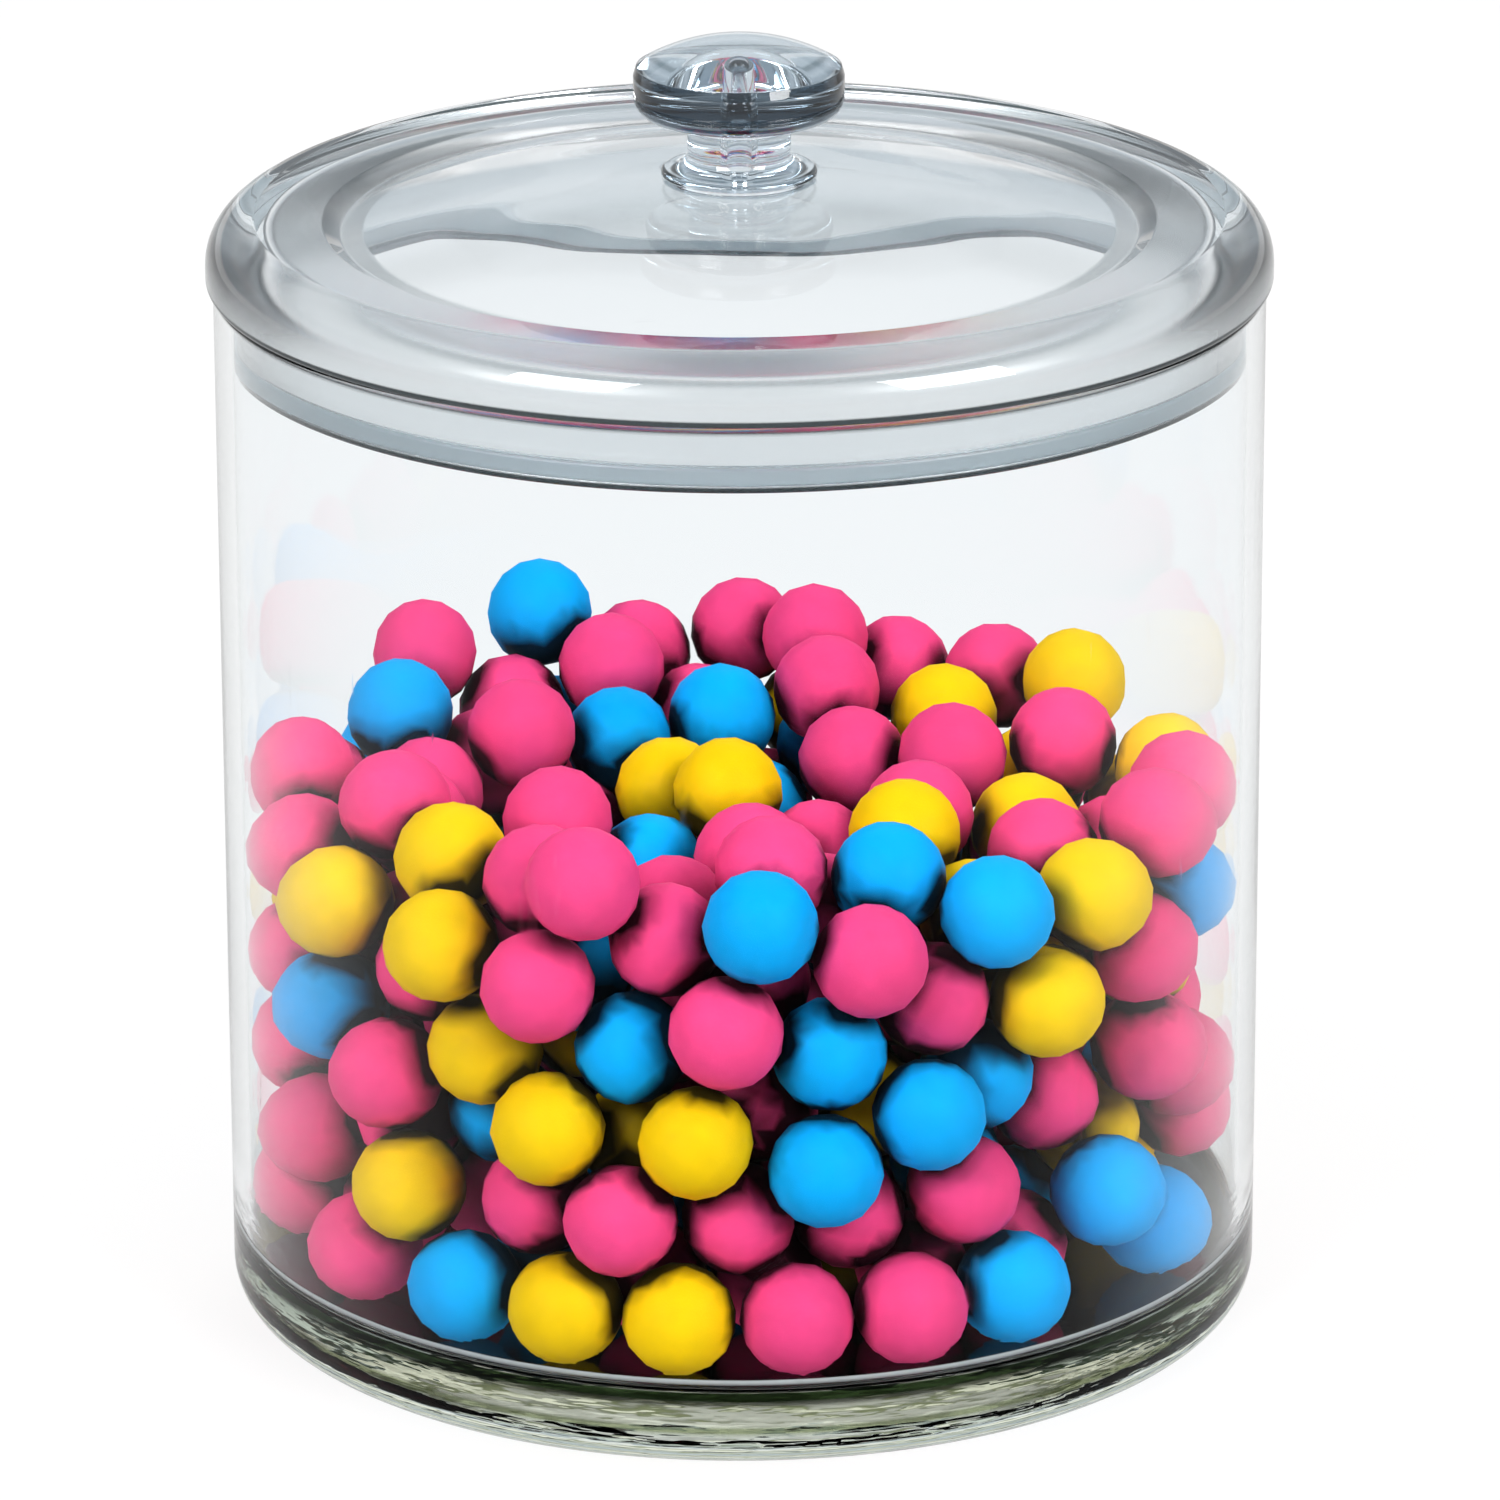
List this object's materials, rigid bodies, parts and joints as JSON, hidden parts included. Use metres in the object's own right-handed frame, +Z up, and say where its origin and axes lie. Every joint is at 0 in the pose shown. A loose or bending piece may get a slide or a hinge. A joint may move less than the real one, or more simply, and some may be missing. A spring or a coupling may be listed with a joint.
{
  "type": "candy bin with lift-off lid",
  "caption": "Clear round jar with a heavy base and an overhanging lift-off lid with a knob, half full of round sweets.",
  "frame": {"origin": "centre of the foot ring, on the surface the bin stands on", "axes": "+Z up along the axis of the jar, front towards -Y, +X to the right"},
  "size_m": [0.2332, 0.2332, 0.288],
  "materials": {
    "jar_glass": "clear, polished",
    "lid_glass": "clear, polished",
    "seal": "clear silicone, satin",
    "pink_candy": "matt sugar shell",
    "yellow_candy": "matt sugar shell",
    "blue_candy": "matt sugar shell"
  },
  "bodies": {
    "jar_body": {"jar": "jar_glass", "gumballs_pink": "pink_candy", "gumballs_yellow": "yellow_candy", "gumballs_blue": "blue_candy"},
    "lid_body": {"lid": "lid_glass", "lid_seal": "seal", "knob": "lid_glass"}
  },
  "joints": [
    {"name": "lid_lift", "type": "slide", "parent": "jar_body", "child": "lid_body", "axis": [0, 0, 1], "range_m": [0, 0.12]}
  ]
}
